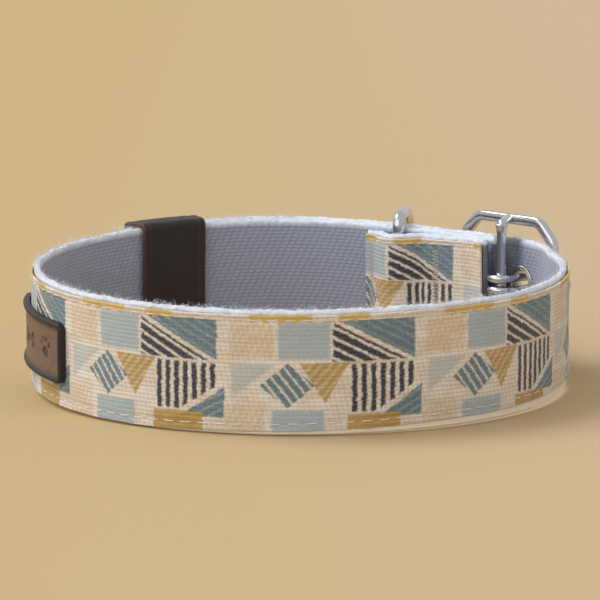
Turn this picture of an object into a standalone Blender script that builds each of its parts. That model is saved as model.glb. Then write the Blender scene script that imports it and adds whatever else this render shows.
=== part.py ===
"""Fabric dog collar with a centre-bar pin buckle, closed into a ring and standing on its edge.

One long strip makes the whole strap. It starts as a short end folded back inside the ring, turns at
the nose beside the buckle, runs once round, passes out through the buckle as the tongue, and ends as
a tail that lies outside the strap, through the D-ring and the keeper. The script works about the
ring's own centre, then moves everything so that the origin is the middle of the footprint. All sizes
are in metres.
"""

import math

import bmesh
import bpy
import numpy as np
from mathutils import Matrix, Vector

MM = 0.001
GAP = 0.3 * MM
RING_CENTRE = Vector((-0.09 * MM, -4.18 * MM, 0))

# Strap: a woven webbing, with a printed cover sewn to its outer face
STRAP_WIDTH = 25.0 * MM
WEBBING = 1.3 * MM
COVER = 0.4 * MM
STITCH = 0.15 * MM
STITCH_HEIGHT = 0.5 * MM
UPPER_STITCH_DROP = 1.9 * MM
LOWER_STITCH_RISE = 1.3 * MM
STITCH_START = 1.5 * MM
STITCH_PAST_NOTCH = 8.0 * MM
BARE_FROM, BARE_TO = math.radians(-90), math.radians(110)
BARE_AT_FRONT = 1.0 * MM
BARE_PER_RADIAN = 1.1 * MM
BARE_LEAST, BARE_MOST = 0.3 * MM, 2.0 * MM
TIP_LENGTH = 9.0 * MM

# Ring: angles are measured from the front (-Y) towards the right (+X)
RING_RADIUS = 55.5 * MM
DENT = 7.8 * MM
DENT_AT = math.radians(142)
DENT_SPREAD = math.radians(34)
REST_SLOPE = 0.0313
REST_REACH = 57.5 * MM
REST_TOWARDS = Vector((math.cos(math.radians(76)), math.sin(math.radians(76)), 0))
SAG = 0.6 * MM
SAG_AT, SAG_SPREAD = math.radians(60), math.radians(28)

# Where things sit round the ring
BAR_AT = math.radians(117.5)
FOLD_END_AT = math.radians(161.5)
D_RING_AT = math.radians(151.5)
D_RING_SWING = math.radians(28)
KEEPER_AT = math.radians(212.3)
TIP_AT = math.radians(229)
LABEL_AT = math.radians(284)
NOSE_REACH = 9.5 * MM
FOLD_DROP = 1.2 * MM
TONGUE_SHIFT = 2.9 * MM
TONGUE_CLEAR = 6.5 * MM
TONGUE_RUN = 13.0 * MM
TONGUE_SPLIT = math.radians(350)
HEADING_REACH = 0.4 * MM

# Buckle: octagonal frame outside the strap, joined by two slanting arms to the bar in the nose
FRAME_LENGTH = 29.5 * MM
FRAME_HEIGHT = 32.8 * MM
FRAME_THICK = 2.2 * MM
RAIL = 2.4 * MM
CHAMFER = 5.0 * MM
FRAME_OUT = 6.4 * MM
FRAME_SKEW = math.radians(2)
BAR_RADIUS = 1.1 * MM
BAR_SHIFT = 5.7 * MM
FRAME_BEVEL = 0.6 * MM
INNER_CHAMFER = 0.6
ARM_RADIUS = 1.1 * MM
BAR_SIDES = 16

# Prong: one wire bent to a hairpin, both ends curled round the centre bar
PRONG_WIRE = 0.9 * MM
PRONG_SPREAD = 1.3 * MM
PRONG_CURL = BAR_RADIUS + GAP + PRONG_WIRE
PRONG_REACH = 8.8 * MM
PRONG_BEND = 2.0 * MM
PRONG_LIFT = 0.1 * MM
SLOT_LENGTH = 7.8 * MM
SLOT_BELOW = 2.7 * MM
SLOT_SHIFT = -0.1 * MM
SLOT_PAST = 1.0 * MM

# D-ring: straight bar held in the fold, bow outside the strap
D_WIRE = 1.4 * MM
D_HEIGHT = 32.0 * MM
D_ARM = 9.5 * MM
D_CORNER = 2.0 * MM
D_BAR_IN = D_WIRE + 0.35 * MM
D_STEPS = 16
D_BULGE = 3.3 * MM
D_BULGE_REACH = 7.5 * MM

# Eyelets
EYELETS = 4
PRONG_EYELET = 0
EYELET_PITCH = 22.5 * MM
EYELET_RISE = 3.0 * MM
EYELET_BORE = 2.7 * MM
EYELET_BARREL = 2.95 * MM
EYELET_FLANGE = 3.9 * MM
EYELET_RIM = 0.5 * MM
EYELET_ROUND = 0.35 * MM
WASHER_RADIUS = 3.8 * MM
WASHER_DISH = 0.1 * MM
WASHER = 0.3 * MM
TURN_STEPS = 24

# Keeper and label, both leather
KEEPER_LENGTH = 16.5 * MM
KEEPER_LEATHER = 0.9 * MM
KEEPER_CORNER = 0.8 * MM
KEEPER_INNER_CORNER = 0.4 * MM
KEEPER_SLACK = 2 * GAP
KEEPER_OVER = 0.3 * MM
KEEPER_UNDER = 1.1 * MM
KEEPER_STATIONS = 6
LABEL_LENGTH = 39.0 * MM
LABEL_HEIGHT = 12.6 * MM
LABEL_DROP = 1.0 * MM
LABEL_LEATHER = 1.4 * MM
LABEL_BORDER = 1.5 * MM
LABEL_RECESS = 0.4 * MM
LABEL_CORNER = 2.0 * MM
LABEL_BEVEL = 0.3 * MM
LABEL_END_INSIDE = 0.7

# Bar tacks that close the fold and hold the D-ring
TACK_LENGTH = 1.8 * MM
TACK_HEIGHT = 18.5 * MM
TACK_TO_D_RING = 9.5 * MM
TACK_TO_FOLD_END = 2.2 * MM

# Middle of the webbing in each layer, measured outwards from the main strap's inner face
FOLD_MID = -(GAP + WEBBING / 2)
MAIN_MID = WEBBING / 2
TONGUE_MID = TONGUE_SHIFT + WEBBING / 2
COVER_IN = WEBBING / 2 + GAP
COVER_OUT = COVER_IN + COVER
NOSE_RADIUS = BAR_RADIUS + GAP + WEBBING / 2
EYELET_HEIGHT = STRAP_WIDTH / 2 + EYELET_RISE
BAR_OUT = MAIN_MID - NOSE_RADIUS


def smooth_step(value):
    value = min(max(value, 0.0), 1.0)
    return value * value * (3 - 2 * value)


def ring_radius(angle):
    away = (angle - DENT_AT + math.pi) % math.tau - math.pi
    return RING_RADIUS - DENT * math.exp(-((away / DENT_SPREAD) ** 2))


def ring_point(angle):
    radius = ring_radius(angle)
    return Vector((radius * math.sin(angle), -radius * math.cos(angle), 0))


def ring_frame(angle):
    """Point on the main strap's inner face, the way round the ring, and the way outwards."""
    step = 0.001
    along = (ring_point(angle + step) - ring_point(angle - step)).normalized()
    return ring_point(angle), along, Vector((along.y, -along.x, 0))


def rest_height(point):
    """Height of the strap's lower edge: held up at the back by the metal, sagging at the right."""
    tilt = REST_SLOPE * (REST_REACH + point.x * REST_TOWARDS.x + point.y * REST_TOWARDS.y)
    away = (math.atan2(point.x, -point.y) - SAG_AT) / SAG_SPREAD
    return tilt - SAG * math.exp(-(away**2))


def length_at(angle):
    """Length of strap for one radian, near this angle."""
    return (ring_point(angle + 0.01) - ring_point(angle - 0.01)).length / 0.02


def angle_from(angle, distance):
    """The angle this far round the ring from another, by the strap's own length."""
    steps = 40
    for _ in range(steps):
        angle += distance / steps / length_at(angle)
    return angle


TONGUE_FULL_AT = angle_from(BAR_AT, -TONGUE_CLEAR)
TONGUE_START_AT = angle_from(TONGUE_FULL_AT, -TONGUE_RUN)


def fold_offset(angle):
    away = abs(angle - D_RING_AT) * length_at(D_RING_AT) / D_BULGE_REACH
    bulge = D_BULGE * 0.5 * (1 + math.cos(math.pi * away)) if away < 1 else 0.0
    near = (angle - BAR_AT) * length_at(BAR_AT) / NOSE_REACH
    if near < 1:
        bulge += (FOLD_MID - MAIN_MID + 2 * NOSE_RADIUS) * 0.5 * (1 + math.cos(math.pi * near))
    return FOLD_MID - bulge


def tongue_offset(angle):
    part = (angle - TONGUE_START_AT) / (TONGUE_FULL_AT - TONGUE_START_AT)
    return MAIN_MID + (TONGUE_MID - MAIN_MID) * smooth_step(part)


def strip_route():
    """Middle line of the webbing as one dense list of points, from the fold's end to the tip."""
    def layer(start, end, offset):
        count = int(abs(end - start) / math.radians(0.5))
        for index in range(count + 1):
            angle = start + (end - start) * index / count
            point, _, out = ring_frame(angle)
            yield point + out * offset(angle)

    route = list(layer(FOLD_END_AT, BAR_AT, fold_offset))
    point, along, out = ring_frame(BAR_AT)
    centre = point + out * BAR_OUT
    for index in range(1, 18):
        turn = math.pi * index / 18
        route.append(centre - NOSE_RADIUS * (math.sin(turn) * along + math.cos(turn) * out))
    route += layer(BAR_AT, TONGUE_SPLIT, lambda angle: MAIN_MID)
    rest = layer(TONGUE_SPLIT, math.tau + TIP_AT, lambda angle: tongue_offset(angle - math.tau))
    route += list(rest)[1:]
    return np.array(route)


ROUTE = strip_route()
ROUTE_LENGTHS = np.concatenate([[0], np.cumsum(np.linalg.norm(np.diff(ROUTE, axis=0), axis=1))])
STRIP_LENGTH = float(ROUTE_LENGTHS[-1])


def strip_at(distance):
    """Point on the webbing's middle line, the way along it, and the way to its covered face."""
    def at(value):
        return Vector([np.interp(value, ROUTE_LENGTHS, ROUTE[:, axis]) for axis in range(3)])

    low, high = max(distance - HEADING_REACH, 0), min(distance + HEADING_REACH, STRIP_LENGTH)
    along = (at(high) - at(low)).normalized()
    return at(distance), along, Vector((along.y, -along.x, 0))


def lower_edge(distance):
    """Height of the strap's lower edge; the folded end was sewn down a little low."""
    point, _, _ = strip_at(distance)
    drop = FOLD_DROP * (1 - smooth_step(distance / FOLD_LENGTH))
    return rest_height(point) - drop


def nearest_length(point, first=0.0, last=STRIP_LENGTH):
    """How far along the strip its middle line passes closest to a point, between two lengths."""
    inside = (ROUTE_LENGTHS >= first) & (ROUTE_LENGTHS <= last)
    away = np.linalg.norm(ROUTE - np.array(point), axis=1)
    return float(ROUTE_LENGTHS[np.argmin(np.where(inside, away, np.inf))])


FOLD_LENGTH = nearest_length(ring_point(BAR_AT), last=STRIP_LENGTH / 4)


def stations(start=0.0, end=STRIP_LENGTH, longest=5 * MM, turn=math.radians(11)):
    """Lengths along the strip, closer together where it bends."""
    chosen = [start]
    _, heading, _ = strip_at(start)
    for distance in ROUTE_LENGTHS[(ROUTE_LENGTHS > start) & (ROUTE_LENGTHS < end - 0.5 * MM)]:
        _, along, _ = strip_at(distance)
        if distance - chosen[-1] >= longest or heading.angle(along) >= turn:
            chosen.append(float(distance))
            heading = along
    return chosen + [end]


def material(name, colour, roughness, metallic=0.0):
    made = bpy.data.materials.new(name)
    made.use_nodes = True
    shader = made.node_tree.nodes["Principled BSDF"]
    shader.inputs["Base Color"].default_value = (*colour, 1)
    shader.inputs["Roughness"].default_value = roughness
    shader.inputs["Metallic"].default_value = metallic
    return made


def add_object(name, mesh_or_curve, collection, look, location=(0, 0, 0)):
    made = bpy.data.objects.new(name, mesh_or_curve)
    made.location = location
    if look is not None:
        made.data.materials.append(look)
    collection.objects.link(made)
    return made


def loft(name, rings, collection, look, hollow=False):
    """One closed body through rings of points; a hollow one has an outer and an inner ring each."""
    mesh = bmesh.new()
    made = [[mesh.verts.new(point) for point in ring] for ring in rings]
    size = len(made[0])
    half = size // 2
    loops = [range(half), range(half, size)] if hollow else [range(size)]
    for low, high in zip(made, made[1:]):
        for loop in loops:
            for one, two in zip(loop, [*loop[1:], loop[0]]):
                mesh.faces.new((low[one], low[two], high[two], high[one]))
    for ring in (made[0], made[-1]):
        if hollow:
            for one in range(half):
                two = (one + 1) % half
                mesh.faces.new((ring[one], ring[two], ring[half + two], ring[half + one]))
        else:
            mesh.faces.new(ring)
    bmesh.ops.recalc_face_normals(mesh, faces=mesh.faces)
    data = bpy.data.meshes.new(name)
    mesh.to_mesh(data)
    mesh.free()
    return add_object(name, data, collection, look)


def tip_fraction(distance):
    """How much of the strap's width is left near the rounded tip."""
    left = (STRIP_LENGTH - distance) / TIP_LENGTH
    if left >= 1:
        return 1.0
    return max(math.sqrt(max(1 - (1 - left) ** 2, 0)), 0.3)


def band(name, low, high, inner, outer, collection, look, start=0.0, end=STRIP_LENGTH, stops=None):
    """A strip that follows the strap: low and high give its edges above the strap's lower edge."""
    rings = []
    for distance in stops or stations(start, end):
        point, _, side = strip_at(distance)
        base = lower_edge(distance)
        middle = base + STRAP_WIDTH / 2
        narrow = tip_fraction(distance)
        edges = [middle + (base + edge(distance) - middle) * narrow for edge in (low, high)]
        corners = ((inner, 0), (outer, 0), (outer, 1), (inner, 1))
        rings.append([point + side * away + Vector((0, 0, edges[which])) for away, which in corners])
    return loft(name, rings, collection, look)


def level(height):
    return lambda distance: height


def ring_angle(distance):
    point, _, _ = strip_at(distance)
    return math.atan2(point.x, -point.y)


def bare_edge(distance):
    """Width of webbing left bare under the cover, which was sewn on a little askew."""
    angle = ring_angle(distance)
    if not BARE_FROM < angle < BARE_TO:
        return BARE_LEAST
    return min(max(BARE_AT_FRONT + BARE_PER_RADIAN * angle, BARE_LEAST), BARE_MOST)


def turned(name, profile, frame, collection, look):
    """A body turned about the Z axis of a frame, from a closed profile of radius and height."""
    mesh = bmesh.new()
    corners = [mesh.verts.new((radius, 0, height)) for radius, height in profile]
    for one, two in zip(corners, corners[1:] + corners[:1]):
        mesh.edges.new((one, two))
    data = bpy.data.meshes.new(name)
    mesh.to_mesh(data)
    mesh.free()
    made = add_object(name, data, collection, look)
    made.matrix_world = frame
    screw = made.modifiers.new("turn", "SCREW")
    screw.steps = screw.render_steps = TURN_STEPS
    screw.use_merge_vertices = True
    screw.merge_threshold = 0.00001
    return made


def eyelet_frame(distance):
    """Frame on the strap at an eyelet, with +Z towards the covered face."""
    point, along, side = strip_at(distance)
    place = point + Vector((0, 0, lower_edge(distance) + EYELET_HEIGHT))
    turn = Matrix((along, Vector((0, 0, 1)), side)).transposed()
    return Matrix.Translation(place) @ turn.to_4x4()


def buckle_frame_matrix():
    """Frame on the ring at the centre bar: +X towards the tongue's side, +Y outwards, +Z up."""
    point, along, out = ring_frame(BAR_AT)
    turn = Matrix((-along, out, Vector((0, 0, 1)))).transposed()
    return Matrix.Translation(point) @ turn.to_4x4()


def d_ring_matrix():
    point, along, out = ring_frame(D_RING_AT)
    turn = Matrix((-along, out, Vector((0, 0, 1)))).transposed()
    swing = Matrix.Rotation(D_RING_SWING, 4, "Z")
    return Matrix.Translation(point - out * D_BAR_IN) @ swing @ turn.to_4x4()


def helper(name, mesh, frame, collection):
    """A hidden body that only cuts another one or joins it."""
    data = bpy.data.meshes.new(name)
    mesh.to_mesh(data)
    mesh.free()
    made = add_object(name, data, collection, None)
    made.matrix_world = frame
    made.hide_render = True
    made.display_type = "WIRE"
    return made


def box_helper(name, size, frame, collection):
    mesh = bmesh.new()
    bmesh.ops.create_cube(mesh, size=1, matrix=Matrix.Diagonal((*size, 1)))
    return helper(name, mesh, frame, collection)


def rod_helper(name, radius, length, sides, frame, collection):
    """A round rod along Z, centred on its frame."""
    mesh = bmesh.new()
    bmesh.ops.create_cone(mesh, cap_ends=True, segments=sides, radius1=radius, radius2=radius,
                          depth=length)
    return helper(name, mesh, frame, collection)


def boolean(target, other, operation):
    made = target.modifiers.new(other.name, "BOOLEAN")
    made.operation = operation
    made.object = other


def eyelet_lengths():
    """Where the eyelets sit along the strip; the prong goes through the first one."""
    at_prong = buckle_frame_matrix() @ Vector((PRONG_CURL, TONGUE_MID, 0))
    middle = nearest_length(at_prong, first=STRIP_LENGTH / 2)
    return [middle + (index - PRONG_EYELET) * EYELET_PITCH for index in range(EYELETS)]


def make_strap(parts, cutters):
    webbing_look = material("webbing", (0.62, 0.63, 0.68), 0.9)
    cover_look = material("printed_cover", (0.78, 0.68, 0.55), 0.85)
    thread_look = material("thread", (0.85, 0.82, 0.78), 0.7)
    top = level(STRAP_WIDTH)
    webbing = band("strap_webbing", level(0.0), top, -WEBBING / 2, WEBBING / 2, parts, webbing_look)
    cover = band("strap_cover", bare_edge, top, COVER_IN, COVER_OUT, parts, cover_look)

    stitch_in, stitch_out = COVER_OUT + GAP, COVER_OUT + GAP + STITCH
    upper = STRAP_WIDTH - UPPER_STITCH_DROP
    nose = FOLD_LENGTH - math.pi * NOSE_RADIUS / 2
    thread_end = STRIP_LENGTH - TIP_LENGTH
    # The notch breaks the upper row in two.
    rows = (("topstitch_fold", STITCH_START, nose - STITCH_PAST_NOTCH),
            ("topstitch_upper", nose + STITCH_PAST_NOTCH, thread_end))
    for name, start, end in rows:
        band(name, level(upper), level(upper + STITCH_HEIGHT), stitch_in, stitch_out,
             parts, thread_look, start=start, end=end)
    band("topstitch_lower", lambda distance: bare_edge(distance) + LOWER_STITCH_RISE,
         lambda distance: bare_edge(distance) + LOWER_STITCH_RISE + STITCH_HEIGHT,
         stitch_in, stitch_out, parts, thread_look, start=STITCH_START, end=thread_end)

    through = WEBBING / 2 + COVER_OUT + 2 * GAP
    to_middle = Matrix.Translation((0, 0, (COVER_OUT - WEBBING / 2) / 2))
    for index, distance in enumerate(eyelet_lengths()):
        hole = rod_helper(f"eyelet_hole_{index + 1}", EYELET_BARREL + GAP, through, TURN_STEPS,
                          eyelet_frame(distance) @ to_middle, cutters)
        for layer in (webbing, cover):
            boolean(layer, hole, "DIFFERENCE")

    inner, outer = BAR_OUT - NOSE_RADIUS - COVER_OUT - SLOT_PAST, MAIN_MID + COVER_OUT + GAP / 2
    # The notch is open at the strap's upper edge, so that the bar shows above the prong.
    low = rest_height(ring_point(BAR_AT)) + EYELET_HEIGHT - SLOT_BELOW
    middle = Vector((SLOT_SHIFT, (inner + outer) / 2, (low + FRAME_HEIGHT) / 2))
    slot = box_helper("prong_notch", (SLOT_LENGTH, outer - inner, FRAME_HEIGHT - low),
                      buckle_frame_matrix() @ Matrix.Translation(middle), cutters)
    for layer in (webbing, cover):
        boolean(layer, slot, "DIFFERENCE")


def make_tacks(parts):
    look = material("tack_thread", (0.8, 0.77, 0.72), 0.7)
    d_ring = nearest_length(ring_point(D_RING_AT), last=FOLD_LENGTH / 2)
    low = (STRAP_WIDTH - TACK_HEIGHT) / 2
    places = {"bar_tack_fold_end": TACK_TO_FOLD_END, "bar_tack_d_ring": d_ring + TACK_TO_D_RING}
    for name, middle in places.items():
        band(name, level(low), level(low + TACK_HEIGHT), COVER_OUT + GAP, COVER_OUT + GAP + STITCH,
             parts, look, stops=[middle - TACK_LENGTH / 2, middle, middle + TACK_LENGTH / 2])


def make_eyelets(parts):
    look = material("nickel", (0.72, 0.71, 0.7), 0.25, 1.0)
    back = -WEBBING / 2 - GAP - WASHER
    face = COVER_OUT + GAP
    crown = face + EYELET_RIM
    # Both profiles run down the outer side, so that the turned body faces outwards.
    eyelet = [
        (EYELET_BORE, face + EYELET_RIM / 2), (EYELET_BORE + EYELET_ROUND, crown),
        (EYELET_FLANGE - EYELET_ROUND, crown), (EYELET_FLANGE, face + EYELET_RIM / 2),
        (EYELET_FLANGE, face), (EYELET_BARREL, face), (EYELET_BARREL, back + WASHER_DISH),
        (EYELET_BORE, back + WASHER_DISH),
    ]
    hole = EYELET_BARREL + GAP
    washer = [(hole, back + WASHER), (WASHER_RADIUS, back + WASHER),
              (WASHER_RADIUS, back + WASHER_DISH), (hole, back)]
    for index, distance in enumerate(eyelet_lengths()):
        frame = eyelet_frame(distance)
        turned(f"eyelet_{index + 1}", eyelet, frame, parts, look)
        turned(f"eyelet_washer_{index + 1}", washer, frame, parts, look)


def octagon(length, height, chamfer):
    half, top = length / 2, height / 2
    return [
        (half, top - chamfer), (half - chamfer, top), (chamfer - half, top), (-half, top - chamfer),
        (-half, chamfer - top), (chamfer - half, -top), (half - chamfer, -top), (half, chamfer - top),
    ]


def plate(outline, thick):
    """A flat plate in the XZ plane, centred on its thickness."""
    mesh = bmesh.new()
    front = [mesh.verts.new((across, -thick / 2, up)) for across, up in outline]
    back = [mesh.verts.new((across, thick / 2, up)) for across, up in outline]
    mesh.faces.new(front)
    mesh.faces.new(back[::-1])
    for one in range(len(outline)):
        two = (one + 1) % len(outline)
        mesh.faces.new((front[two], front[one], back[one], back[two]))
    bmesh.ops.recalc_face_normals(mesh, faces=mesh.faces)
    return mesh


def make_buckle(parts, cutters):
    """Frame plate with its octagonal opening, the centre bar, and the two arms that join them."""
    look = material("buckle_chrome", (0.8, 0.8, 0.8), 0.12, 1.0)
    middle = buckle_frame_matrix() @ Matrix.Translation((0, 0, FRAME_HEIGHT / 2))
    skew = Matrix.Rotation(FRAME_SKEW, 4, "Z")
    face = middle @ Matrix.Translation((-BAR_SHIFT, FRAME_OUT, 0)) @ skew
    mesh = plate(octagon(FRAME_LENGTH, FRAME_HEIGHT, CHAMFER), FRAME_THICK)
    data = bpy.data.meshes.new("buckle_frame")
    mesh.to_mesh(data)
    mesh.free()
    frame = add_object("buckle_frame", data, parts, look)
    frame.matrix_world = face
    inside = octagon(FRAME_LENGTH - 2 * RAIL, FRAME_HEIGHT - 2 * RAIL, CHAMFER - RAIL * INNER_CHAMFER)
    opening = helper("buckle_opening", plate(inside, 2 * FRAME_THICK), face, cutters)
    boolean(frame, opening, "DIFFERENCE")
    edges = frame.modifiers.new("edges", "BEVEL")
    edges.width = FRAME_BEVEL
    edges.segments = 2
    edges.limit_method = "ANGLE"
    edges.angle_limit = math.radians(40)

    bar = rod_helper("centre_bar", BAR_RADIUS, FRAME_HEIGHT - RAIL, BAR_SIDES,
                     middle @ Matrix.Translation((0, BAR_OUT, 0)), cutters)
    boolean(frame, bar, "UNION")
    reach = Vector((-BAR_SHIFT, FRAME_OUT - BAR_OUT, 0))
    along_arm = reach.to_track_quat("Z", "X").to_matrix().to_4x4()
    centre = Vector((0, BAR_OUT, 0)) + (reach - reach.normalized() * BAR_RADIUS) / 2
    for side, name in ((1, "upper_arm"), (-1, "lower_arm")):
        place = Matrix.Translation(centre + Vector((0, 0, side * (FRAME_HEIGHT - RAIL) / 2)))
        arm = rod_helper(name, ARM_RADIUS, reach.length + BAR_RADIUS, BAR_SIDES,
                         middle @ place @ along_arm, cutters)
        boolean(frame, arm, "UNION")


def wire(name, points, radius, frame, collection, look, closed=False):
    curve = bpy.data.curves.new(name, "CURVE")
    curve.dimensions = "3D"
    curve.bevel_depth = radius
    curve.bevel_resolution = 2
    curve.use_fill_caps = True
    spline = curve.splines.new("POLY")
    spline.points.add(len(points) - 1)
    for place, point in zip(spline.points, points):
        place.co = (*point, 1)
    spline.use_cyclic_u = closed
    made = add_object(name, curve, collection, look)
    made.matrix_world = frame
    return made


def arc(centre, radius, start, end, steps):
    """Points on a circle, from one angle in degrees to another."""
    found = []
    for index in range(steps + 1):
        angle = math.radians(start + (end - start) * index / steps)
        found.append((centre[0] + radius * math.cos(angle), centre[1] + radius * math.sin(angle)))
    return found


def prong_side():
    """One leg of the prong seen from above: round the bar, out through the strap, to the end bar."""
    rail = FRAME_OUT + (FRAME_LENGTH - RAIL) / 2 * math.sin(FRAME_SKEW)
    rest = rail + FRAME_THICK / 2 + PRONG_WIRE + PRONG_LIFT - BAR_OUT
    curl = arc((0, 0), PRONG_CURL, 150, 360, 10)
    corner = (PRONG_CURL + PRONG_BEND, rest - PRONG_BEND)
    return curl + arc(corner, PRONG_BEND, 180, 90, 5) + [(PRONG_REACH, rest)]


def make_prong(parts):
    look = material("prong_chrome", (0.8, 0.8, 0.8), 0.15, 1.0)
    leg = prong_side()
    end = leg[-1]
    upper = [(across, out, PRONG_SPREAD) for across, out in leg]
    turn = [(end[0] + PRONG_SPREAD * math.cos(angle), end[1], PRONG_SPREAD * math.sin(angle))
            for angle in (math.radians(step) for step in (60, 30, 0, -30, -60))]
    lower = [(across, out, -PRONG_SPREAD) for across, out in reversed(leg)]
    height = rest_height(ring_point(BAR_AT)) + EYELET_HEIGHT
    frame = buckle_frame_matrix() @ Matrix.Translation((0, BAR_OUT, height))
    wire("buckle_prong", upper + turn + lower, PRONG_WIRE, frame, parts, look)


def make_d_ring(parts):
    look = material("d_ring_chrome", (0.8, 0.8, 0.8), 0.12, 1.0)
    top = D_HEIGHT / 2 - D_WIRE
    corner = D_CORNER
    upper = arc((corner, top - corner), corner, 180, 90, 4)
    bow = arc((D_ARM, 0), top, 90, -90, D_STEPS)
    lower = arc((corner, corner - top), corner, 270, 180, 4)
    points = [(0, out, up) for out, up in upper + bow + lower]
    frame = d_ring_matrix() @ Matrix.Translation((0, 0, D_HEIGHT / 2))
    wire("d_ring", points, D_WIRE, frame, parts, look, closed=True)


def rounded_box(low, high, bottom, top, corner):
    """Outline of a rounded rectangle, with three points in each corner."""
    corners = (((high, top), 0), ((low, top), 90), ((low, bottom), 180), ((high, bottom), 270))
    found = []
    for (across, up), start in corners:
        centre = (across - corner if across == high else across + corner,
                  up - corner if up == top else up + corner)
        found += arc(centre, corner, start, start + 90, 2)
    return found


def make_keeper(parts):
    """Leather loop round the strap and the tail, curved with the ring."""
    look = material("keeper_leather", (0.09, 0.05, 0.04), 0.6)
    near, far = -KEEPER_SLACK, TONGUE_MID + COVER_OUT + STITCH + KEEPER_SLACK
    low, high = -KEEPER_UNDER, STRAP_WIDTH + KEEPER_OVER
    hollow = rounded_box(near, far, low, high, KEEPER_INNER_CORNER)
    solid = rounded_box(near - KEEPER_LEATHER, far + KEEPER_LEATHER, low - KEEPER_LEATHER,
                        high + KEEPER_LEATHER, KEEPER_CORNER)
    rings = []
    for index in range(KEEPER_STATIONS + 1):
        shift = KEEPER_LENGTH * (index / KEEPER_STATIONS - 0.5)
        angle = KEEPER_AT + shift / RING_RADIUS
        point, _, out = ring_frame(angle)
        base = rest_height(point)
        rings.append([point + out * away + Vector((0, 0, base + up)) for away, up in solid + hollow])
    return loft("keeper_loop", rings, parts, look, hollow=True)


def make_label(parts):
    """Leather patch with a raised border, on the left of the ring."""
    look = material("label_leather", (0.14, 0.09, 0.07), 0.55)
    face = MAIN_MID + COVER_OUT + GAP
    half = LABEL_LENGTH / 2
    corner = [0, LABEL_CORNER / 8, LABEL_CORNER / 3, LABEL_CORNER * 5 / 8, LABEL_CORNER]
    flat = list(np.linspace(LABEL_CORNER - half, half - LABEL_CORNER, 9)[1:])
    shifts = [step - half for step in corner] + flat + [half - step for step in corner[-2::-1]]
    rings = []
    for shift in shifts:
        from_end = half - abs(shift)
        rounding = max(LABEL_CORNER - from_end, 0)
        tall = LABEL_HEIGHT / 2 - LABEL_CORNER + math.sqrt(max(LABEL_CORNER**2 - rounding**2, 0))
        recessed = from_end > LABEL_CORNER - GAP
        inside = LABEL_HEIGHT / 2 - LABEL_BORDER if recessed else tall * LABEL_END_INSIDE
        floor = LABEL_LEATHER - LABEL_RECESS if recessed else LABEL_LEATHER
        section = [(0, -tall), (LABEL_LEATHER, -tall), (LABEL_LEATHER, -inside),
                   (floor, LABEL_BEVEL - inside), (floor, inside - LABEL_BEVEL),
                   (LABEL_LEATHER, inside), (LABEL_LEATHER, tall), (0, tall)]
        point, _, out = ring_frame(LABEL_AT + shift / (RING_RADIUS + face))
        middle = rest_height(point) + STRAP_WIDTH / 2 - LABEL_DROP
        rings.append([point + out * (face + away) + Vector((0, 0, middle + up)) for away, up in section])
    return loft("label_patch", rings, parts, look)


def main():
    for old in list(bpy.data.objects):
        bpy.data.objects.remove(old)
    parts = bpy.data.collections.new("buckle_collar")
    cutters = bpy.data.collections.new("cutters")
    bpy.context.scene.collection.children.link(parts)
    bpy.context.scene.collection.children.link(cutters)
    make_strap(parts, cutters)
    make_tacks(parts)
    make_eyelets(parts)
    make_buckle(parts, cutters)
    make_prong(parts)
    make_d_ring(parts)
    make_keeper(parts)
    make_label(parts)
    for made in [*parts.objects, *cutters.objects]:
        made.location += RING_CENTRE


main()
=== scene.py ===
"""Looks for a printed fabric dog collar with a pin buckle, closed and standing on its edge.

The strap is one strip: it starts as an end folded back inside the ring, turns at the nose beside
the buckle, runs once round, passes out through the buckle and ends in a tail outside. Lengths
along the strip are in millimetres from the fold's end; heights are from the strap's lower edge.
"""
import math
import random
from functools import partialmethod

import bpy
import numpy as np
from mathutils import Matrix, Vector


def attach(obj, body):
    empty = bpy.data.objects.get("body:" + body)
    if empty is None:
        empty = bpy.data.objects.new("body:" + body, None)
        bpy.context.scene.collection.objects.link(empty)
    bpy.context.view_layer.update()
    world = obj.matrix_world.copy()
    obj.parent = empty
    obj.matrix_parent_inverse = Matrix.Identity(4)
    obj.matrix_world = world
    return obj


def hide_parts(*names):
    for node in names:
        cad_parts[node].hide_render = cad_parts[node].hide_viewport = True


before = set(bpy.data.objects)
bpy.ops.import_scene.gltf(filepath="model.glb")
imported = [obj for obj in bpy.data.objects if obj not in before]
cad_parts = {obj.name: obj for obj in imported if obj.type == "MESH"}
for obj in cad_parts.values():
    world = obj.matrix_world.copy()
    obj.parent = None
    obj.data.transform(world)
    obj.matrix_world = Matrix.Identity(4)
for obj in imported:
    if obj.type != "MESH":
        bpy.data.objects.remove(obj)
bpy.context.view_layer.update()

MM = 0.001
TAU = math.tau
rad = math.radians

# ---- the strip's route, the same as the CAD model's, in millimetres
RING_CENTRE = np.array([-0.09, -4.18])
RING_RADIUS = 55.5
OUTER_RADIUS = 57.5
DENT, DENT_AT, DENT_SPREAD = 7.8, rad(142), rad(34)
REST_SLOPE, REST_REACH, REST_TOWARDS = 0.0313, 57.5, rad(76)
SAG, SAG_AT, SAG_SPREAD = 0.6, rad(60), rad(28)
WIDTH, WEBBING, COVER, GAP = 25.0, 1.3, 0.4, 0.3
FOLD_MID, MAIN_MID, TONGUE_MID = -0.95, 0.65, 3.55
BAR_AT, FOLD_END_AT, D_RING_AT = rad(117.5), rad(161.5), rad(151.5)
TIP_AT, KEEPER_AT, LABEL_AT = rad(229), rad(212.3), rad(284)
BAR_RADIUS, NOSE_RADIUS, BAR_OUT, NOSE_REACH, FOLD_DROP = 1.1, 2.05, -1.4, 9.5, 1.2
TONGUE_CLEAR, TONGUE_RUN, TIP_LENGTH, TONGUE_FROM = 6.5, 13.0, 9.0, rad(350)
D_BULGE, D_BULGE_REACH = 3.3, 7.5
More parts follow.
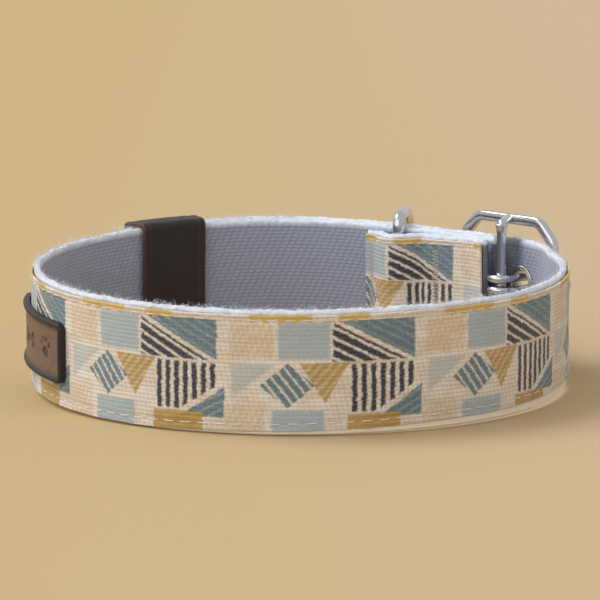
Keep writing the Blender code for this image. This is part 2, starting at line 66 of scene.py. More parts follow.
COVER_IN, COVER_OUT = WEBBING / 2 + GAP, WEBBING / 2 + GAP + COVER


def ring_point(angle):
    angle = np.asarray(angle, float)
    away = (angle - DENT_AT + math.pi) % TAU - math.pi
    radius = RING_RADIUS - DENT * np.exp(-((away / DENT_SPREAD) ** 2))
    return RING_CENTRE + np.stack([radius * np.sin(angle), -radius * np.cos(angle)], -1)


def ring_frame(angle):
    """Point on the main strap's inner face, the way round the ring, and the way outwards."""
    step = 0.001
    along = ring_point(angle + step) - ring_point(angle - step)
    along = along / np.linalg.norm(along, axis=-1, keepdims=True)
    return ring_point(angle), along, np.stack([along[..., 1], -along[..., 0]], -1)


def rest_height(point):
    """Height of the strap's lower edge: held up at the back by the metal, sagging at the right."""
    towards = np.array([math.cos(REST_TOWARDS), math.sin(REST_TOWARDS)])
    plan = np.asarray(point)[..., :2] - RING_CENTRE
    away = (np.arctan2(plan[..., 0], -plan[..., 1]) - SAG_AT) / SAG_SPREAD
    return REST_SLOPE * (REST_REACH + plan @ towards) - SAG * np.exp(-(away**2))


def length_at(angle):
    return float(np.linalg.norm(ring_point(angle + 0.01) - ring_point(angle - 0.01)) / 0.02)


def angle_from(angle, distance):
    for _ in range(40):
        angle += distance / 40 / length_at(angle)
    return angle


def smooth(value):
    value = np.clip(value, 0, 1)
    return value * value * (3 - 2 * value)


TONGUE_FULL_AT = angle_from(BAR_AT, -TONGUE_CLEAR)
TONGUE_START_AT = angle_from(TONGUE_FULL_AT, -TONGUE_RUN)


def layer(start, end, offset):
    angles = np.linspace(start, end, int(abs(end - start) / rad(0.1)) + 1)
    points, _, out = ring_frame(angles)
    return points + out * offset(angles)[:, None]


def fold_offset(angle):
    away = np.abs(angle - D_RING_AT) * length_at(D_RING_AT) / D_BULGE_REACH
    bulge = np.where(away < 1, D_BULGE * 0.5 * (1 + np.cos(math.pi * away)), 0)
    near = (angle - BAR_AT) * length_at(BAR_AT) / NOSE_REACH
    wrap = (FOLD_MID - MAIN_MID + 2 * NOSE_RADIUS) * 0.5 * (1 + np.cos(math.pi * near))
    return FOLD_MID - bulge - np.where(near < 1, wrap, 0)


def tongue_offset(angle):
    part = (angle - TAU - TONGUE_START_AT) / (TONGUE_FULL_AT - TONGUE_START_AT)
    return MAIN_MID + (TONGUE_MID - MAIN_MID) * smooth(part)


def make_route():
    """The webbing's middle line in plan: folded end, nose, once round, then tongue and tail."""
    point, along, out = ring_frame(BAR_AT)
    turn = np.linspace(0, math.pi, 60)[1:-1, None]
    nose = point + out * BAR_OUT - NOSE_RADIUS * (np.sin(turn) * along + np.cos(turn) * out)
    return np.concatenate([
        layer(FOLD_END_AT, BAR_AT, fold_offset), nose,
        layer(BAR_AT, TONGUE_FROM, lambda angle: np.full(angle.shape, MAIN_MID)),
        layer(TONGUE_FROM, TAU + TIP_AT, tongue_offset)[1:],
    ])


ROUTE = make_route()
ROUTE_AT = np.concatenate([[0], np.cumsum(np.linalg.norm(np.diff(ROUTE, axis=0), axis=1))])
STRIP_LENGTH = float(ROUTE_AT[-1])


def on_route(distance):
    """Points on the webbing's middle line, the way along it, and the way to its covered face."""
    distance = np.asarray(distance, float)

    def at(value):
        value = np.clip(value, 0, STRIP_LENGTH)
        return np.stack([np.interp(value, ROUTE_AT, ROUTE[:, axis]) for axis in (0, 1)], -1)

    along = at(distance + 0.25) - at(distance - 0.25)
    along = along / np.linalg.norm(along, axis=-1, keepdims=True)
    return at(distance), along, np.stack([along[..., 1], -along[..., 0]], -1)


def length_near(point, first=0.0, last=STRIP_LENGTH):
    inside = (ROUTE_AT >= first) & (ROUTE_AT <= last)
    away = np.linalg.norm(ROUTE - np.asarray(point)[:2], axis=1)
    return float(ROUTE_AT[np.argmin(np.where(inside, away, np.inf))])


FRONT = length_near(ring_point(TAU), STRIP_LENGTH / 4, STRIP_LENGTH * 0.8)
PRONG_CURL = 2.3
BAR_POINT, BAR_ALONG, BAR_SIDE = ring_frame(BAR_AT)
NOSE = length_near(BAR_POINT + BAR_SIDE * BAR_OUT - BAR_ALONG * NOSE_RADIUS, 0, STRIP_LENGTH / 4)
FOLD_LENGTH = length_near(BAR_POINT + BAR_SIDE * MAIN_MID, 0, STRIP_LENGTH / 4)
PRONG_EYELET = length_near(BAR_POINT - BAR_ALONG * PRONG_CURL + BAR_SIDE * TONGUE_MID,
                           STRIP_LENGTH / 2)
EYELETS, EYELET_PITCH, EYELET_RISE = 4, 22.5, 3.0
EYELET_PLACES = [PRONG_EYELET + step * EYELET_PITCH for step in range(EYELETS)]
EYELET_HEIGHT = WIDTH / 2 + EYELET_RISE
NOTCH_LOW, NOTCH_HALF = EYELET_HEIGHT - 2.7, 7.0


def lower_edge(distance):
    """Height of the strip's lower edge above the floor; the folded end was sewn a little low."""
    point, _, _ = on_route(distance)
    return rest_height(point) - FOLD_DROP * (1 - smooth(np.asarray(distance, float) / FOLD_LENGTH))


def from_frame(axes, origin, points):
    """Points given along the three axes of a frame, from its origin."""
    return np.asarray(points, float) @ np.array(axes) + np.asarray(origin, float)


# ---- meshes
def add_mesh(name, points, faces, material, smooth_faces=True):
    """An object from points in millimetres."""
    data = bpy.data.meshes.new(name)
    data.from_pydata((np.asarray(points, float) * MM).tolist(), [], faces)
    data.validate()
    if smooth_faces:
        data.shade_smooth()
    made = bpy.data.objects.new(name, data)
    bpy.context.scene.collection.objects.link(made)
    data.materials.append(material)
    return made


def set_attribute(made, name, values):
    attribute = made.data.attributes.new(name, "FLOAT_VECTOR", "POINT")
    attribute.data.foreach_set("vector", np.asarray(values, np.float32).ravel())


class Hash:
    """Smooth value noise with no table, the same on every run."""

    def __init__(self, seed):
        self.seed = seed

    def corner(self, i, j):
        value = np.sin(i * 127.1 + j * 311.7 + self.seed * 74.7) * 43758.5453
        return value - np.floor(value)

    def __call__(self, x, y, size_x=1.0, size_y=1.0):
        x, y = np.broadcast_arrays(np.asarray(x, float) / size_x, np.asarray(y, float) / size_y)
        i, j = np.floor(x), np.floor(y)
        u, v = smooth(x - i), smooth(y - j)
        low = self.corner(i, j) * (1 - u) + self.corner(i + 1, j) * u
        high = self.corner(i, j + 1) * (1 - u) + self.corner(i + 1, j + 1) * u
        return (low * (1 - v) + high * v) * 2 - 1


def tip_width(distance):
    left = np.clip((STRIP_LENGTH - distance) / TIP_LENGTH, 0, 1)
    return np.maximum(np.sqrt(np.maximum(1 - (1 - left) ** 2, 0)), 0.3)


def strip_stations(pitch, fine_pitch):
    """Lengths along the strip, closer together round the nose."""
    chosen, place = [0], 0
    while place < STRIP_LENGTH:
        place += fine_pitch if abs(place - NOSE) < 3.5 else pitch
        chosen.append(min(place, STRIP_LENGTH))
    return np.array(chosen)


STATIONS = strip_stations(0.5, 0.2)
LEVELS, EDGE_STEPS = 56, 7
HOLE_RADIUS, NOTCH_SLOPE = 3.2, 0.5


def strip_body(name, material, low, high, inner, outer, relief, corner):
    """A closed band along the strip, with rounded edges, relief, the notch and the eyelet holes."""
    point, _, side = on_route(STATIONS)
    bottom, top = (np.broadcast_to(edge, STATIONS.shape) for edge in (low, high))
    notched = np.clip((NOTCH_HALF - np.abs(STATIONS - NOSE)) / NOTCH_SLOPE, 0, 1)
    top = top + (NOTCH_LOW - top) * notched
    turn = np.linspace(0, math.pi, EDGE_STEPS + 2)[1:-1]
    rise, lean = np.sin(turn) * corner, np.cos(turn)
    wall = [bottom + corner + (top - bottom - 2 * corner) * step
            for step in np.linspace(0, 1, LEVELS)]
    over = [top - corner + up for up in rise]
    under = [bottom + corner - up for up in rise]
    heights = np.array(wall + over + wall[::-1] + under).T
    flat = np.ones(LEVELS)
    face = np.broadcast_to(np.concatenate([flat, lean, -flat, lean[::-1]]), heights.shape)
    along = np.broadcast_to(STATIONS[:, None], heights.shape)
    push, lift = relief(along, heights, face)
    middle = WIDTH / 2
    narrowed = middle + (heights + lift - middle) * tip_width(STATIONS)[:, None]
    offsets = (outer + inner) / 2 + face * (outer - inner) / 2 + push
    plan = point[:, None, :] + side[:, None, :] * offsets[..., None]
    points = np.concatenate([plan, (lower_edge(STATIONS)[:, None] + narrowed)[..., None]], -1)

    index = np.arange(heights.size).reshape(heights.shape)
    following = np.roll(index, -1, axis=1)
    quads = np.stack([index[:-1], index[1:], following[1:], following[:-1]], -1)
    keep, walls = np.ones(quads.shape[:2], bool), []
    back = 2 * LEVELS + EDGE_STEPS - 1
    above = (heights[:-1, :LEVELS - 1] + heights[:-1, 1:LEVELS]) / 2 - EYELET_HEIGHT
    for place in EYELET_PLACES:
        aside = (STATIONS[:-1] + STATIONS[1:]) / 2 - place
        gone = (aside[:, None] / HOLE_RADIUS) ** 2 + (above / HOLE_RADIUS) ** 2 < 1
        for i, j in np.argwhere(gone):
            keep[i, j] = keep[i, back - 1 - j] = False
            for di, dj, a, b in ((-1, 0, (i, j), (i, j + 1)), (1, 0, (i + 1, j + 1), (i + 1, j)),
                                 (0, -1, (i + 1, j), (i, j)), (0, 1, (i, j + 1), (i + 1, j + 1))):
                if not gone[i + di, j + dj]:
                    walls.append([index[a], index[b], index[b[0], back - b[1]],
                                  index[a[0], back - a[1]]])
    faces = quads[keep].tolist() + [[int(v) for v in wall] for wall in walls]
    faces += [index[0].tolist(), index[-1, ::-1].tolist()]
    made = add_mesh(name, points.reshape(-1, 3), faces, material)
    set_attribute(made, "strip", np.stack([along, heights, face], -1).reshape(-1, 3))
    return made


# ---- material nodes, written as sums
class Value:
    """A number in a node tree, so that a pattern can be written as plain arithmetic."""

    def __init__(self, tree, socket):
        self.tree, self.socket = tree, socket

    def node(self, operation, *others, clamp=False):
        made = self.tree.nodes.new("ShaderNodeMath")
        made.operation, made.use_clamp = operation, clamp
        for place, other in enumerate((self, *others)):
            connect(self.tree, other, made.inputs[place])
        return Value(self.tree, made.outputs[0])

    __add__, __sub__ = partialmethod(node, "ADD"), partialmethod(node, "SUBTRACT")
    __mul__, __truediv__ = partialmethod(node, "MULTIPLY"), partialmethod(node, "DIVIDE")
    min, max = partialmethod(node, "MINIMUM"), partialmethod(node, "MAXIMUM")
    abs, floor = partialmethod(node, "ABSOLUTE"), partialmethod(node, "FLOOR")
    sin, power = partialmethod(node, "SINE"), partialmethod(node, "POWER")

    def clamp(self):
        return self.node("ADD", 0.0, clamp=True)

    def wrap(self, size, start):
        """This number moved by whole sizes to lie from start to start + size."""
        return self.node("WRAP", start + size, start)

    def edge(self, soft):
        """0 below zero and 1 above it, softly."""
        return self.node("MULTIPLY_ADD", 1 / soft, 0.5, clamp=True)

    def stripes(self, pitch, share):
        """Distance inside evenly pitched stripes that take up a share of the pitch."""
        return (self.wrap(pitch, -pitch / 2).abs() * -1.0) + pitch * share / 2


def connect(tree, value, socket):
    if isinstance(value, Value):
        tree.links.new(value.socket, socket)
    elif isinstance(value, bpy.types.NodeSocket):
        tree.links.new(value, socket)
    else:
        socket.default_value = value


def combine(tree, x, y, z):
    made = tree.nodes.new("ShaderNodeCombineXYZ")
    for value, socket in zip((x, y, z), made.inputs):
        connect(tree, value, socket)
    return made.outputs[0]


def object_place(tree):
    return tree.nodes.new("ShaderNodeTexCoord").outputs["Object"]


def attribute_node(tree, name):
    made = tree.nodes.new("ShaderNodeAttribute")
    made.attribute_name = name
    return made


def parts_of(tree, vector):
    made = tree.nodes.new("ShaderNodeSeparateXYZ")
    tree.links.new(vector, made.inputs[0])
    return [Value(tree, socket) for socket in made.outputs]


def dot(tree, spot, weights):
    made = tree.nodes.new("ShaderNodeVectorMath")
    made.operation = "DOT_PRODUCT"
    tree.links.new(spot, made.inputs[0])
    made.inputs[1].default_value = weights
    return Value(tree, made.outputs["Value"])


def half_plane(tree, spot, start, end):
    """Distance to the right of the line from start to end, for a spot (across, up, 1)."""
    along = np.array(end, float) - np.array(start, float)
    along /= np.linalg.norm(along)
    normal = (along[1], -along[0])
    return dot(tree, spot, (*normal, -(normal[0] * start[0] + normal[1] * start[1])))


def polygon(tree, spot, corners):
    """Distance inside a convex outline whose corners run clockwise."""
    inside = None
    for start, end in zip(corners, corners[1:] + corners[:1]):
        plane = half_plane(tree, spot, start, end)
        inside = plane if inside is None else inside.min(plane)
    return inside


def noise(tree, vector, scale, detail=2.0, rough=0.5):
    """Noise about zero, from about -1 to 1."""
    made = tree.nodes.new("ShaderNodeTexNoise")
    made.inputs["Scale"].default_value = scale
    made.inputs["Detail"].default_value = detail
    made.inputs["Roughness"].default_value = rough
    tree.links.new(vector, made.inputs["Vector"])
    return (Value(tree, made.outputs["Fac"]) - 0.5) * 3.2


def blend(tree, share, low, high):
    """A mix of two colours, each a socket or a fixed colour."""
    made = tree.nodes.new("ShaderNodeMix")
    made.data_type = "RGBA"
    connect(tree, share, made.inputs["Factor"])
    colours = [socket for socket in made.inputs if socket.type == "RGBA"]
    for value, socket in zip((low, high), colours):
        connect(tree, value, socket)
    return next(socket for socket in made.outputs if socket.type == "RGBA")


def scaled(tree, colour, factor):
    """A colour times a number."""
    made = tree.nodes.new("ShaderNodeVectorMath")
    made.operation = "SCALE"
    tree.links.new(colour, made.inputs[0])
    connect(tree, factor, made.inputs["Scale"])
    return made.outputs[0]


def srgb(red, green, blue):
    def linear(value):
        value /= 255
        return value / 12.92 if value <= 0.04045 else ((value + 0.055) / 1.055) ** 2.4

    return (linear(red), linear(green), linear(blue), 1)


def new_material(name, roughness, metallic=0.0):
    made = bpy.data.materials.new(name)
    made.use_nodes = True
    shader = made.node_tree.nodes["Principled BSDF"]
    shader.inputs["Roughness"].default_value = roughness
    shader.inputs["Metallic"].default_value = metallic
    return made, made.node_tree, shader


def bump(tree, shader, height, distance):
    made = tree.nodes.new("ShaderNodeBump")
    made.inputs["Strength"].default_value = 1.0
    made.inputs["Distance"].default_value = distance
    connect(tree, height, made.inputs["Height"])
    tree.links.new(made.outputs["Normal"], shader.inputs["Normal"])


def strip_place(tree):
    """Length along the strip and height on it, in millimetres, which face, and all three as one."""
    place = attribute_node(tree, "strip").outputs["Vector"]
    return *parts_of(tree, place), place


# ---- the cloth's threads, the print's layout and the colours
RIB, COLUMN, WEB_ROW = 0.84, 1.06, 0.8
REPEAT, PRINT_START, MOTIF_LEFT, TUFT_PITCH = 40.1, 11.3, 3.9, 2.9
CREAM, PEACH = srgb(246, 239, 230), srgb(214, 190, 162)
SKY, PALE = srgb(160, 184, 198), srgb(184, 196, 200)
TEAL, TEAL_DEEP = srgb(92, 132, 150), srgb(56, 92, 112)
MUSTARD, MUSTARD_DEEP = srgb(204, 166, 80), srgb(158, 122, 44)
STRAW = srgb(222, 192, 142)
NAVY, TUFT = srgb(46, 50, 68), srgb(232, 196, 104)
# The third colour here, for the webbing's top edge, is whiter and bluer as a painted highlight of
# the top light.
WEB_PALE, WEB_DARK, WEB_LIT_EDGE = srgb(172, 177, 200), srgb(136, 141, 165), srgb(232, 238, 250)
# The first colour here is the webbing's own pale colour made lighter and warmer by painted
# floor-bounce light; the second is a painted shade grey for the prong and the notch.
BARE_STRIP_BOUNCE_LIT, PAINTED_SHADE_GREY = srgb(255, 246, 230), srgb(62, 60, 66)


def print_material():
    """Canvas with a repeating patchwork, its outlines in millimetres across and up the strip."""
    made, tree, shader = new_material("printed_canvas", 0.9)
    along, height, _, place = strip_place(tree)
    wobble = noise(tree, combine(tree, along, height, 3.0), 1.9, 4.0, 0.7)
    wobble_up = noise(tree, combine(tree, along, height, 9.0), 1.9, 4.0, 0.7)
    thread_row, thread_column = (height / RIB).floor(), (along / COLUMN).floor()
    frayed = noise(tree, combine(tree, along * 0.35, thread_row * 5.3, 2.0), 1.0, 1.0)
    frayed_up = noise(tree, combine(tree, thread_column * 4.7, height * 0.35, 6.0), 1.0, 1.0)
    stretch = OUTER_RADIUS / (RING_RADIUS + MAIN_MID)
    across = (along - FRONT) * stretch + MOTIF_LEFT + wobble * 0.36 + frayed * 0.2
    across = across.wrap(REPEAT, -PRINT_START)
    up = height + wobble_up * 0.26 + frayed_up * 0.16
    spot = combine(tree, across, up, 1.0)

    def block(corners, soft=0.34):
        return polygon(tree, spot, corners).edge(soft)

    def box(left, low, right, high, soft=0.34):
        return block([(left, high), (right, high), (right, low), (left, low)], soft)

    def slanted(pitch, share, direction, shift=0.0):
        turn = rad(direction)
        return dot(tree, spot, (-math.sin(turn), math.cos(turn), shift)).stripes(pitch, share)

    def hatch(pitch, share, direction, soft, depth):
        """Printed lines that leave this depth of the ink between them uncovered."""
        return slanted(pitch, share, direction).edge(soft) * depth + (1 - depth)

    rows = (height * (TAU / RIB) + wobble * 0.8).sin()
    columns = ((along + height * 0.22) * (TAU / COLUMN) + wobble_up * 0.9).sin()
    broad = noise(tree, combine(tree, along * 0.55, height * 1.4, 5.0), 0.5, 2.0)
    fibre = noise(tree, combine(tree, along * 1.2, height * 4.0, 0.0), 1.7, 3.0, 0.7)
    fine = noise(tree, place, 4.2, 2.0, 0.7)
    cloth_tint = (rows * 0.12 + columns * 0.06 + broad * 0.4 + fibre * 0.3 + 0.36).clamp()
    cover = (rows * -0.1 + columns * -0.05 + fibre * -0.3 + 0.9).clamp()
    deep = (rows * 0.3 + fibre * 0.28 + broad * 0.25 + 0.35).clamp()
    teal = blend(tree, deep, TEAL, TEAL_DEEP)
    mustard = blend(tree, deep, MUSTARD, MUSTARD_DEEP)

    sky = box(-0.6, 15.4, 9.6, 22.7, 0.5).max(box(-2.0, -3, 8.4, 5.2, 0.5))
    wedge = block([(-10.0, 14.4), (-1.0, 14.4), (-10.0, 7.6)], 0.6)
    thatch = box(-10.6, 15.6, -1.6, 22.4, 0.5).max(box(-11.2, -1, -3.4, 6.2, 0.5))
    thatch = thatch * (slanted(1.35, 0.6, 62).edge(0.6) * 0.42 + 0.2)
    upper_triangle = block([(11.4, 23.0), (27.0, 23.0), (27.0, 14.9)])
    upper_triangle = upper_triangle * hatch(1.5, 0.8, -27.5, 0.5, 0.25)
    lower_triangle = block([(19.4, 3.4), (28.6, 9.6), (28.6, 3.4)])
    lower_triangle = lower_triangle * hatch(1.5, 0.8, 27, 0.5, 0.35)
    rhombus = block([(1.2, 14.6), (6.7, 10.1), (1.2, 5.6), (-4.3, 10.1)], 0.22)
    rhombus = rhombus * hatch(1.62, 0.68, -52, 0.3, 0.85)
    gold = block([(3.6, 14.6), (13.6, 14.6), (8.6, 6.6)]) * hatch(1.45, 0.74, 48, 0.6, 0.55)
    low_gold = box(13.1, -1, 24.0, 4.2)
    tuft = (along * (TAU / TUFT_PITCH)).sin() * 0.35 + wobble * 0.5
    roll = (up + tuft - 22.9).edge(0.4) * (up * -1.0 + 25.2 - tuft * 0.6).edge(0.5)
    rolled = block([(-7.0, 30), (6.2, 30), (6.0, 20), (-6.2, 20)], 0.6).max(
        block([(11.0, 30), (17.7, 30), (17.4, 20), (11.4, 20)], 0.6)) * roll
    bars = slanted(1.8, 0.7, -27.5, 0.3).min(
        polygon(tree, spot, [(10.2, 22.6), (25.4, 14.8), (10.2, 14.8)]))
    posts = (across - 14.5).stripes(1.95, 0.54).min(
        polygon(tree, spot, [(13.8, 14.2), (27.2, 14.2), (27.2, 9.9), (19.0, 4.7), (13.8, 4.7)]))
    dark = bars.edge(0.36).max(posts.edge(0.36)) * (rows * -0.05 + fibre * -0.16 + 0.97)

    colour = blend(tree, cloth_tint, CREAM, PEACH)
    for share, ink in ((sky * 0.85, SKY), (wedge * 0.75, PALE), (thatch, STRAW),
                       (upper_triangle.max(lower_triangle).max(rhombus), teal),
                       (gold.max(low_gold), mustard),
                       (rolled, blend(tree, deep, TUFT, MUSTARD))):
        colour = blend(tree, share * cover, colour, ink)
    colour = blend(tree, dark.clamp(), colour, NAVY)
    shade = rows * -0.035 + columns * -0.02 + fibre * 0.1 + fine * 0.12 + 0.97
    tree.links.new(scaled(tree, colour, shade), shader.inputs["Base Color"])
    relief = rows * 0.3 + columns * 0.16 + (rows * columns) * 0.14 + fibre * 0.4 + fine * 0.3
    bump(tree, shader, relief, 0.00013)
    shader.inputs["Sheen Weight"].default_value = 0.25
    shader.inputs["Sheen Roughness"].default_value = 0.5
    return made


def webbing_material():
    """Lavender-grey weave with a painted highlight along its top edge, smooth and painted lighter
    and warmer below the cover for floor-bounce light, and painted shade at the prong and the notch.
    """
    made, tree, shader = new_material("woven_webbing", 0.88)
    along, height, face, place = strip_place(tree)
    shift = (height / WEB_ROW).floor().wrap(4.0, 0.0) * 0.4
    wobble = noise(tree, place, 0.9, 2.0)
    cell = ((along + shift + wobble * 0.12) * (math.pi / 1.6)).sin().abs()
    ridge = (height * (math.pi / WEB_ROW) + wobble * 0.2).sin().abs()
    pillow = cell.power(0.6) * ridge.power(0.6)
    fibre = noise(tree, combine(tree, along * 2.6, height * 1.3, 0.0), 2.0, 3.0, 0.7)
    broad = noise(tree, combine(tree, along, height * 2.0, 4.0), 0.16, 2.0)
    on_face = (face.abs() - 0.9).edge(0.2)
    tint = (pillow * -0.75 + 0.8 + fibre * 0.3 + broad * 0.2).clamp()
    colour = blend(tree, tint, WEB_PALE, WEB_DARK)
    # Painted highlight: the top edge is whiter and bluer where the top light falls on it.
    lit_top_edge = (height + fibre * 0.15 - 23.9).edge(0.7)
    colour = blend(tree, lit_top_edge, colour, WEB_LIT_EDGE)
    # The bare strip below the cover has no weave, and it is painted lighter and warmer for light
    # bounced off the floor, on top of the webbing's own pale colour.
    bare_strip = (height * -1.0 + 3.4).edge(0.4) * (face + 0.5).edge(0.4)
    colour = blend(tree, bare_strip, colour, BARE_STRIP_BOUNCE_LIT)
    # Painted shade on the tongue's inner face behind the bar, round the prong's eyelet.
    prong_shade = ((along - PRONG_EYELET - 4.6).abs() * -1.0 + 4.4 + fibre * 0.8).edge(2.2)
    prong_shade = prong_shade * (face * -1.0 - 0.3).edge(0.5)
    # Painted shade on the webbing inside the notch beside the nose, where the gap between the
    # layers is dark.
    notch_shade = ((along - NOSE).abs() * -1.0 + NOTCH_HALF + 0.7).edge(0.4)
    notch_shade = notch_shade * (height * -1.0 + 23.8).edge(0.8)
    colour = blend(tree, prong_shade.max(notch_shade) * 0.75, colour, PAINTED_SHADE_GREY)
    shade = fibre * 0.07 + broad * 0.05 + 0.98
    tree.links.new(scaled(tree, colour, shade), shader.inputs["Base Color"])
    weave = pillow * on_face * (bare_strip * -1.0 + 1.0) * 0.7
    bump(tree, shader, weave + fibre * 0.25, 0.00014)
    shader.inputs["Sheen Weight"].default_value = 0.3
    shader.inputs["Sheen Roughness"].default_value = 0.5
    return made


def thread_material(name, light, dark):
    made, tree, shader = new_material(name, 0.6)
    place = object_place(tree)
    grain = noise(tree, place, 2600.0, 2.0)
    colour = blend(tree, (grain * 0.3 + 0.4).clamp(), light, dark)
    tree.links.new(colour, shader.inputs["Base Color"])
    bump(tree, shader, grain, 0.00004)
    shader.inputs["Sheen Weight"].default_value = 0.3
    return made


def metal_material(name, colour, roughness, grain_share, grain_scale):
    made, tree, shader = new_material(name, roughness, 1.0)
    place = object_place(tree)
    smudge = noise(tree, place, 120.0, 3.0)
    scratch = noise(tree, place, grain_scale, 4.0, 0.7)
    tint = (smudge * 0.2 + 0.5).clamp()
    darker = tuple(part * 0.86 for part in colour[:3]) + (1,)
    tree.links.new(blend(tree, tint, colour, darker), shader.inputs["Base Color"])
    connect(tree, (smudge * 0.04 + scratch * grain_share + roughness).clamp(),
            shader.inputs["Roughness"])
    bump(tree, shader, scratch, 0.000012)
    return made


def leather_material(name, dark, light, edge_colour):
    made, tree, shader = new_material(name, 0.5)
    place = object_place(tree)
    cells = tree.nodes.new("ShaderNodeTexVoronoi")
    cells.feature = "DISTANCE_TO_EDGE"
    cells.inputs["Scale"].default_value = 1700.0
    tree.links.new(place, cells.inputs["Vector"])
    grain = (Value(tree, cells.outputs["Distance"]) * 3.0).clamp()
    mottled = noise(tree, place, 260.0, 4.0, 0.65)
    fine = noise(tree, place, 1900.0, 3.0, 0.6)
    colour = blend(tree, (mottled * 0.3 + 0.45).clamp(), dark, light)
    worn = Value(tree, attribute_node(tree, "worn").outputs["Fac"])
    colour = blend(tree, worn.clamp(), colour, edge_colour)
    shade = grain * 0.25 + 0.85 + fine * 0.08
    tree.links.new(scaled(tree, colour, shade), shader.inputs["Base Color"])
    connect(tree, (mottled * 0.08 + grain * -0.08 + 0.5).clamp(), shader.inputs["Roughness"])
    bump(tree, shader, grain * 0.6 + fine * 0.3, 0.00008)
    return made


CANVAS = print_material()
WEBBING_LOOK = webbing_material()
THREAD = thread_material("sewing_thread", srgb(250, 240, 226), srgb(214, 196, 172))
TACK_THREAD = thread_material("tack_thread", srgb(190, 180, 170), srgb(164, 156, 150))
CHROME = metal_material("polished_chrome", srgb(212, 214, 220), 0.1, 0.02, 900.0)
NICKEL = metal_material("satin_nickel", srgb(214, 212, 208), 0.3, 0.04, 1500.0)
KEEPER_HIDE = leather_material("keeper_leather", srgb(30, 22, 26), srgb(44, 32, 37),
                               srgb(98, 50, 42))
LABEL_HIDE = leather_material("label_leather", srgb(108, 84, 72), srgb(136, 108, 92),
                              srgb(26, 21, 21))

# ---- strap
STITCH_PITCH, STITCH_LONG, THREAD_THICK = 3.6, 2.5, 0.12
UPPER_STITCH, LOWER_STITCH, SEAM_SPREAD = 23.1, 1.5, 0.42
WEB_TOP, COVER_TOP, WEAVE_PITCH = WIDTH + 0.05, WIDTH - 0.85, 1.5
BARE_AT_FRONT, BARE_PER_RADIAN, BARE_LEAST, BARE_MOST = 1.0, 1.1, 0.3, 2.0
lump, crumple = Hash(3), Hash(8)


def round_angle(distance):
    point, _, _ = on_route(distance)
    away = point - RING_CENTRE
    return np.arctan2(away[..., 0], -away[..., 1])


def bare_edge(distance):
    """Height of the webbing left bare below the cover, which was sewn on a little askew."""
    angle = round_angle(distance)
    shown = np.clip(BARE_AT_FRONT + BARE_PER_RADIAN * angle, BARE_LEAST, BARE_MOST)
    return np.where((angle < rad(-90)) | (angle > rad(110)), BARE_LEAST, shown)


def web_relief(along, height, face):
    """How far the webbing stands out and up: weave, lumps and an uneven upper edge."""
    row = np.floor(height / WEB_ROW)
    cell = np.abs(np.sin((along + WEAVE_PITCH / 2 * (row % 2)) * math.pi / WEAVE_PITCH))
    cell = cell * np.abs(np.sin(height * math.pi / WEB_ROW))
    push = np.sign(face) * 0.05 * (cell - 0.5) * (np.abs(face) > 0.9)
    push = push + 0.06 * lump(along, height, 9, 8)
    top = smooth((height - WIDTH + 1.6) / 1.4)
    edge = np.abs(np.sin(along * math.pi / WEAVE_PITCH)) - 0.5
    lift = top * (0.12 * edge + 0.16 * lump(along, 0, 3.0) + 0.2 * crumple(along, face * 2, 0.7))
    low_edge = smooth((1.0 - height) / 0.8)
    bare = smooth((2.6 - height) / 0.8) * (face > 0.9) * 0.22
    push = push + bare + top * 0.16 * crumple(along, height, 0.8, 0.6)
    return push, lift + low_edge * 0.03 * edge


def bell(away, spread):
    """1 at no distance, falling away smoothly."""
    return np.exp(-((away / spread) ** 2))


def cover_relief(along, height, face):
    """The same for the cover: seams pulled in, a rolled upper edge and ribs."""
    outside = face > 0.2
    seams = bell(height - UPPER_STITCH, SEAM_SPREAD)
    seams = seams + bell(height - (bare_edge(along) + LOWER_STITCH), SEAM_SPREAD)
    hole = bell(((along / STITCH_PITCH) % 1.0 - 0.5) * STITCH_PITCH, 0.55)
    roll = smooth((height - UPPER_STITCH) / 0.7) * smooth((WIDTH + 0.3 - height) / 0.6)
    rib = np.sin(height * TAU / RIB) * 0.02
    push = roll * (0.16 + 0.12 * lump(along, height, 1.5, 0.8)) - seams * (0.16 + 0.16 * hole)
    push = push + rib + 0.05 * lump(along, height, 6, 5) + 0.03 * crumple(along, height, 1.2, 0.9)
    lift = 0.16 * lump(along, 5, 1.3) + 0.08 * crumple(along, 1, 0.5)
    lift = lift * smooth((height - WIDTH + 1.4) / 0.8)
    bottom = smooth((bare_edge(along) + 0.5 - height) / 0.5)
    lift = lift + bottom * (0.05 * lump(along, 9, 2.2) + 0.04 * crumple(along, 3, 0.6))
    return push * outside, lift * np.where(outside, 1, 0.6)


webbing = strip_body("webbing", WEBBING_LOOK, 0.0, WEB_TOP, -WEBBING / 2, WEBBING / 2,
                     web_relief, 0.6)
cover = strip_body("printed_cover", CANVAS, bare_edge(STATIONS), COVER_TOP, COVER_IN, COVER_OUT,
                   cover_relief, 0.2)
for piece, node, slot in ((webbing, "strap_webbing", "webbing"),
                          (cover, "strap_cover", "printed_cover")):
    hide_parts(node)
    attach(piece, "strap")


